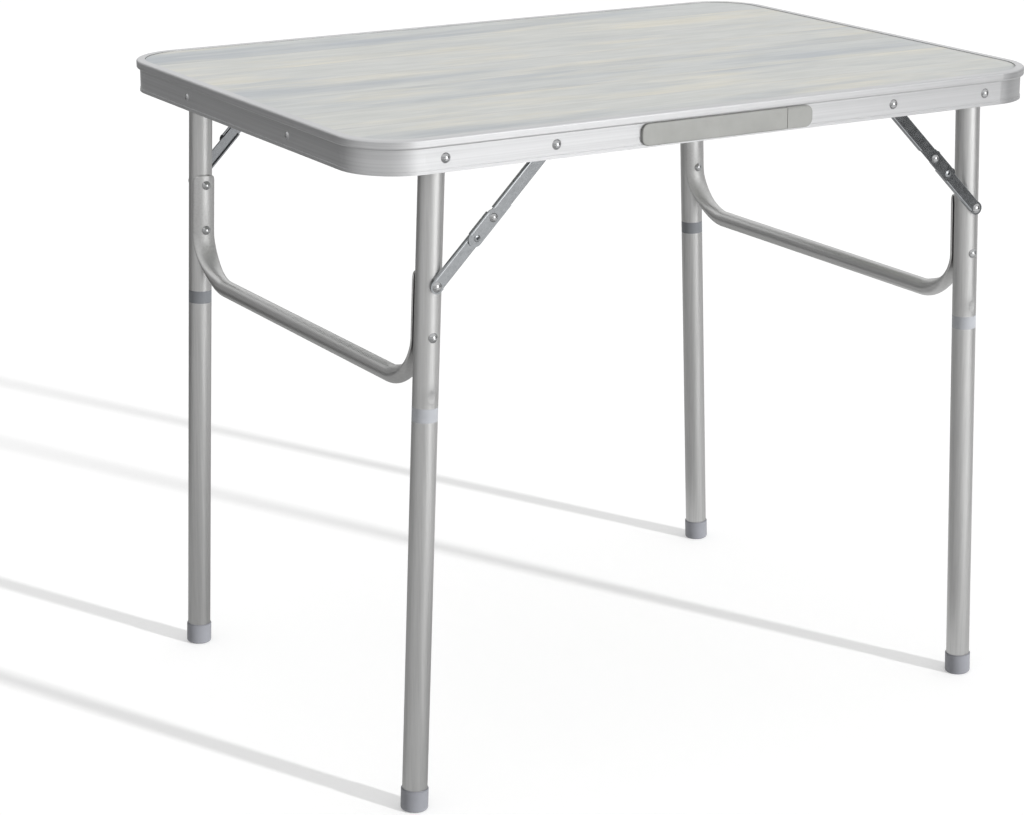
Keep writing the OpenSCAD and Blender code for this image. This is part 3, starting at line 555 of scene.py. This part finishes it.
# %% Loft the crossbars
LEG_LEAN = math.radians(2.3)
PIVOT_X = -0.278
PIVOT_Z = 0.5726
SADDLE_TOP = 0.0575
SADDLE_CORNER = 0.007
CORNER_DROPS = (0.0, 0.0002, 0.0006, 0.0012, 0.002, 0.0032, 0.005, 0.007)
OPENING_ABOVE = 0.003
OPENING_TURN = math.radians(74)
ABOVE_STEPS = 4
BEND_STEPS = 36
BAR_SHARP_OVER = 40


def opened_at(run):
    """How far the tube has opened at this length along it, counted from the bend's start."""
    t = (run + OPENING_ABOVE) / (OPENING_TURN * BEND_MIDDLE + OPENING_ABOVE)
    t = min(1.0, max(0.0, t))
    return t * t * (3 - 2 * t)


def half_crossbar():
    """The sections from one saddle's top to the middle of the bar."""
    half = []
    for below in CORNER_DROPS:
        corner = SADDLE_CORNER - math.sqrt(SADDLE_CORNER ** 2 - (SADDLE_CORNER - below) ** 2)
        half.append(tube_section(0, SADDLE_TOP - below, 0, 1 - 2 * corner / PRESSED_W))
    for step in range(ABOVE_STEPS, 0, -1):
        above = OPENING_ABOVE * step / ABOVE_STEPS
        half.append(tube_section(0, above, opened_at(-above)))
    for step in range(BEND_STEPS + 1):
        turn = math.radians(90 * step / BEND_STEPS)
        half.append(tube_section(turn, 0, opened_at(turn * BEND_MIDDLE)))
    return half


def on_frame(side, x, y, z):
    """A point of the upright bar, leaned with its frame and moved to the frame's pivot."""
    along = x * math.cos(LEG_LEAN) + z * math.sin(LEG_LEAN) + PIVOT_X
    height = z * math.cos(LEG_LEAN) - x * math.sin(LEG_LEAN) + PIVOT_Z
    return Vector((-side * along, y, height))


def crossbar_loft(side):
    """The whole tube of one frame: side is -1 for the left one, 1 for the right one."""
    half = half_crossbar()
    back = [[(x, -y, z) for x, y, z in section] for section in reversed(half)]
    placed = [[on_frame(side, *point) for point in section] for section in half + back]
    word = "left" if side < 0 else "right"
    bar = loft(word + "_crossbar_tube", placed, BAR_SHARP_OVER)
    dress(bar, bar_finish)
    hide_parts(word + "_crossbar")
    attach(bar, word + "_frame")
    return bar


for side in (-1, 1):
    bar = crossbar_loft(side)
    solid_low, solid_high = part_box("left_crossbar" if side < 0 else "right_crossbar")
    off_end = abs(max(v.co.y for v in bar.data.vertices) - solid_high.y)
    off_under = abs(min(v.co.z for v in bar.data.vertices) - solid_low.z)
    print(bar.name, "faces", len(bar.data.polygons))
    print("off the solid's box by mm", round(1000 * off_end, 2), round(1000 * off_under, 2))

# %% [markdown]
# ## The carrying strap
# The strap is flexible plastic. Its two ends stay on the rail, and its middle bows out when
# a hand lifts it. The solid in the frame is one stiff piece, so the strap is made again here
# as a left and a right half. Its section has a rounded front with a slight crown, a ridge
# along the back, and a pocket for the flat anchor that holds its left end.

# %% The strap's section
strap_low, strap_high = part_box("handle_strap")
anchor_low, anchor_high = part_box("handle_left_anchor")
middle_x, middle_y, middle_z = ((low + high) / 2 for low, high in zip(strap_low, strap_high))
EDGE_ROUND = 0.0013
END_ROUND = 0.007
CROWN = 0.00012
POCKET_PLAY = 0.0005
RIDGE_STEP = 0.0006
RIDGE_TOP = 0.5639
ROUND_STEPS = 6


def end_drop(distance, radius):
    """How far a rounded end has fallen away at this distance from its tip."""
    if distance >= radius:
        return 0.0
    return radius - math.sqrt(radius ** 2 - (radius - distance) ** 2)


def strap_section(x, pocket, tip):
    """Points of the strap's section at x, from the back of its lower edge round."""
    half = (strap_high.z - strap_low.z) / 2 - end_drop(tip, END_ROUND)
    back = strap_high.y
    front = strap_low.y + CROWN + end_drop(tip, EDGE_ROUND)
    step_z = max(middle_z - half, min(RIDGE_TOP, middle_z))
    deep = anchor_low.y - POCKET_PLAY if pocket else back
    low = anchor_low.z - POCKET_PLAY
    high = anchor_high.z + POCKET_PLAY
    points = [(back - RIDGE_STEP, middle_z - half), (back - RIDGE_STEP, step_z), (back, step_z)]
    points += [(back, low), (deep, low), (deep, high), (back, high), (back, middle_z + half)]
    angles = [math.radians(90 * i / ROUND_STEPS) for i in range(ROUND_STEPS + 1)]
    outward = [EDGE_ROUND * (1 - math.sin(a)) for a in angles]
    inward = [half - EDGE_ROUND * (1 - math.cos(a)) for a in angles]
    edge = [(front + y, z) for y, z in zip(outward, inward)]
    points += [(y, middle_z + z) for y, z in edge]
    points += [(front - CROWN, middle_z + half * f) for f in (0.5, 0.0, -0.5)]
    points += [(y, middle_z - z) for y, z in reversed(edge)]
    return [Vector((x, y, z)) for y, z in points]


print("strap:", [round(x, 4) for x in strap_high - strap_low])

# %% [markdown]
# ## Two halves of the strap
# The sections stand close at the round left tip, and two of them stand in one place at
# each side of the pocket, where the section changes at once.

# %% Loft the two halves of the strap
STRAP_STEPS = 36
TIP_STEPS = (0.00005, 0.0002, 0.0005, 0.0009, 0.0013, 0.0028, 0.004, 0.0055, 0.007)
NO_TIP = 1.0
SAME_PLACE = 0.000002
STRAP_SHARP_OVER = 32


def strap_sections(near_end, far_end, has_tip):
    """The sections of one half, from near_end to far_end."""
    span = far_end - near_end
    places = [near_end + span * i / STRAP_STEPS for i in range(STRAP_STEPS + 1)]
    pocket = []
    if has_tip:
        pocket = [anchor_low.x - POCKET_PLAY, anchor_high.x + POCKET_PLAY]
        places += [near_end + d for d in TIP_STEPS] + pocket
    sections = []
    for x in sorted(set(round(p, 6) for p in places), reverse=span < 0):
        tip = abs(x - near_end) if has_tip else NO_TIP
        at_wall = [abs(x - wall) < SAME_PLACE for wall in pocket]
        if any(at_wall):
            into = at_wall[0]
            sections += [strap_section(x, not into, tip), strap_section(x, into, tip)]
        else:
            sections.append(strap_section(x, has_tip and pocket[0] < x < pocket[1], tip))
    return sections


def strap_half(name, near_end, has_tip):
    """Half of the strap, from near_end, which stays on the rail, to the middle."""
    half = loft(name, strap_sections(near_end, middle_x, has_tip), STRAP_SHARP_OVER)
    dress(half, handle_finish)
    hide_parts("handle_strap")
    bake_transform(half)
    return half


left_half = strap_half("strap_left_half", strap_low.x, has_tip=True)
right_half = strap_half("strap_right_half", strap_high.x, has_tip=False)
print("strap halves:", len(left_half.data.polygons), len(right_half.data.polygons), "faces")

# %% [markdown]
# ## The studio's floor
# The table stands on a pale floor that runs out of sight, as for a catalogue picture. Lit
# only by the studio, it would be a little darker than the white world behind it, and a line
# would show where they meet. More light would fade the table. So the floor glows a little,
# and only for the rays that show it: to the camera, in metal and through glass. The legs'
# shadows stay.

# %% Floor
FLOOR_GREY = 0.8
FLOOR_LIFT = 0.27
FLOOR_REACH = 40


def stage_piece(name, corners, faces, finish):
    """A flat piece of the studio, which is no part of the table."""
    mesh = bpy.data.meshes.new(name)
    mesh.from_pydata(corners, [], faces)
    piece = bpy.data.objects.new(name, mesh)
    piece.data.materials.append(finish)
    bpy.context.scene.collection.objects.link(piece)
    return piece


def flat_card(name, x0, y0, x1, y1, z, finish):
    """A level rectangle between two corners."""
    corners = [(x0, y0, z), (x1, y0, z), (x1, y1, z), (x0, y1, z)]
    return stage_piece(name, corners, [(0, 1, 2, 3)], finish)


def shown_rays(tree):
    """One for rays from the camera, and for what metal mirrors and glass lets through."""
    path = add(tree, "LightPath").outputs
    either = math_node(tree, "MAXIMUM", path["Is Camera Ray"], path["Is Glossy Ray"])
    return math_node(tree, "MAXIMUM", either, path["Is Transmission Ray"])


def floor_finish():
    paint = (FLOOR_GREY, FLOOR_GREY, FLOOR_GREY, 1)
    finish, tree, shader = new_finish("studio_floor", Base_Color=paint, Roughness=1.0,
                                      Specular_IOR_Level=0)
    lift = add(tree, "Emission", Strength=math_node(tree, "MULTIPLY", shown_rays(tree), FLOOR_LIFT))
    both = add(tree, "AddShader", i0=shader.outputs[0], i1=lift.outputs[0])
    tree.links.new(both.outputs[0], tree.nodes["Material Output"].inputs["Surface"])
    return finish


flat_card("floor", -FLOOR_REACH, -FLOOR_REACH, FLOOR_REACH, FLOOR_REACH, 0, floor_finish())
print("floor:", 2 * FLOOR_REACH, "wide")

# %% [markdown]
# ## World and lamp
# The light is soft: an even white world all round, and one lamp low at the front and a little
# to the right. The lamp is a sun, so it lights the whole floor alike, and it draws the long
# faint shadows of the legs. The world is full white where it shows, but it lights the table at
# a lower level, or the pale pieces would clip to white.

# %% World and lamp
FILL = 0.66
KEY_AZIMUTH = 24.4
KEY_ELEVATION = 15.0
KEY_ANGLE = 2.4
KEY_LEVEL = 3.9

world = bpy.data.worlds.new("studio_world")
bpy.context.scene.world = world
world.use_nodes = True
sky_tree = world.node_tree
sky = sky_tree.nodes["Background"]
sky.inputs["Color"].default_value = (1, 1, 1, 1)
sky_level = math_node(sky_tree, "MULTIPLY_ADD", shown_rays(sky_tree), 1 - FILL, FILL)
sky_tree.links.new(sky_level, sky.inputs["Strength"])

azimuth = math.radians(KEY_AZIMUTH)
elevation = math.radians(KEY_ELEVATION)
level_out = math.cos(elevation)
toward_key = Vector((math.sin(azimuth) * level_out, -math.cos(azimuth) * level_out, math.sin(elevation)))
key = bpy.data.objects.new("key_light", bpy.data.lights.new("key_light", "SUN"))
key.data.energy = KEY_LEVEL
key.data.angle = math.radians(KEY_ANGLE)
key.visible_glossy = False
key.rotation_euler = toward_key.to_track_quat("Z", "Y").to_euler()
bpy.context.scene.collection.objects.link(key)
print("fill", FILL, "key light", KEY_LEVEL)

# %% [markdown]
# ## Cards for the metal to mirror
# Metal only looks like metal if it has something darker to mirror. Seen from a little above,
# upright metal mirrors the floor round the table, and so grey cards lie there. Cards that
# stand round it are for the rail's lips, the bends and the domed rivets. One of them is a
# bright soft box at the front, which takes the lamp's place in reflections: the lamp itself
# is too small and would leave hard glints. Only reflections see the cards.

# %% Floor and wall cards
BLACK = (0, 0, 0, 1)
FLOOR_CARD_Z = 0.003
WALL_DISTANCE = 4.0
WALL_STEP = 5
# Name, grey, and two corners
FLOOR_CARDS = [
    ("back_left_floor", 0.14, (-4.0, 0.75), (-0.45, 4.0)),
    ("left_floor", 0.42, (-4.0, -0.16), (-0.45, 0.75)),
    ("back_floor", 0.50, (-0.45, 0.35), (4.0, 4.0)),
    ("middle_floor", 0.42, (-0.45, -0.22), (0.20, 0.35)),
    ("far_right_floor", 0.74, (0.20, -0.60), (4.0, 0.35)),
    ("camera_floor", 0.54, (-1.6, -1.6), (-0.25, -0.16)),
    ("far_camera_floor", 0.75, (-3.5, -3.5), (-1.6, -0.16)),
    ("near_floor", 0.50, (-0.25, -0.62), (0.20, -0.22)),
    ("right_floor", 0.07, (1.45, -3.8), (4.5, -0.7)),
]
# Name, grey, first and last azimuth, from the front towards the right, and lowest and highest point
WALL_CARDS = [
    ("back_wall", 0.32, -240, -180, 0.0, 0.9),
    ("back_left_wall", 0.32, -180, -110, 0.0, 2.4),
    ("camera_wall", 0.66, -110, -12, 0.0, 2.0),
    ("soft_box", 3.6, 2, 32, 0.1, 2.2),
    ("right_wall", 0.30, 40, 70, 0.0, 2.0),
    ("far_right_wall", 0.60, 70, 120, 0.0, 2.0),
]


def card_finish(name, grey):
    """A card that shows one grey, whatever light falls on it."""
    glow = (grey, grey, grey, 1)
    finish, _, _ = new_finish(name, Base_Color=BLACK, Roughness=1.0, Specular_IOR_Level=0,
                              Emission_Color=glow, Emission_Strength=1.0)
    return finish


def wall_card(name, start, end, low, high, finish):
    """An upright card that stands round the table between two azimuths."""
    angles = [math.radians(a) for a in range(start, end + WALL_STEP, WALL_STEP)]
    feet = [(WALL_DISTANCE * math.sin(a), -WALL_DISTANCE * math.cos(a)) for a in angles]
    corners = [(x, y, z) for x, y in feet for z in (low, high)]
    faces = [(2 * i, 2 * i + 2, 2 * i + 3, 2 * i + 1) for i in range(len(feet) - 1)]
    return stage_piece(name, corners, faces, finish)


cards = []
for name, grey, (x0, y0), (x1, y1) in FLOOR_CARDS:
    cards.append(flat_card(name, x0, y0, x1, y1, FLOOR_CARD_Z, card_finish(name, grey)))
for name, grey, start, end, low, high in WALL_CARDS:
    cards.append(wall_card(name, start, end, low, high, card_finish(name, grey)))
for card in cards:
    for ray in ("camera", "diffuse", "shadow", "transmission"):
        setattr(card, "visible_" + ray, False)
print("cards:", len(cards))
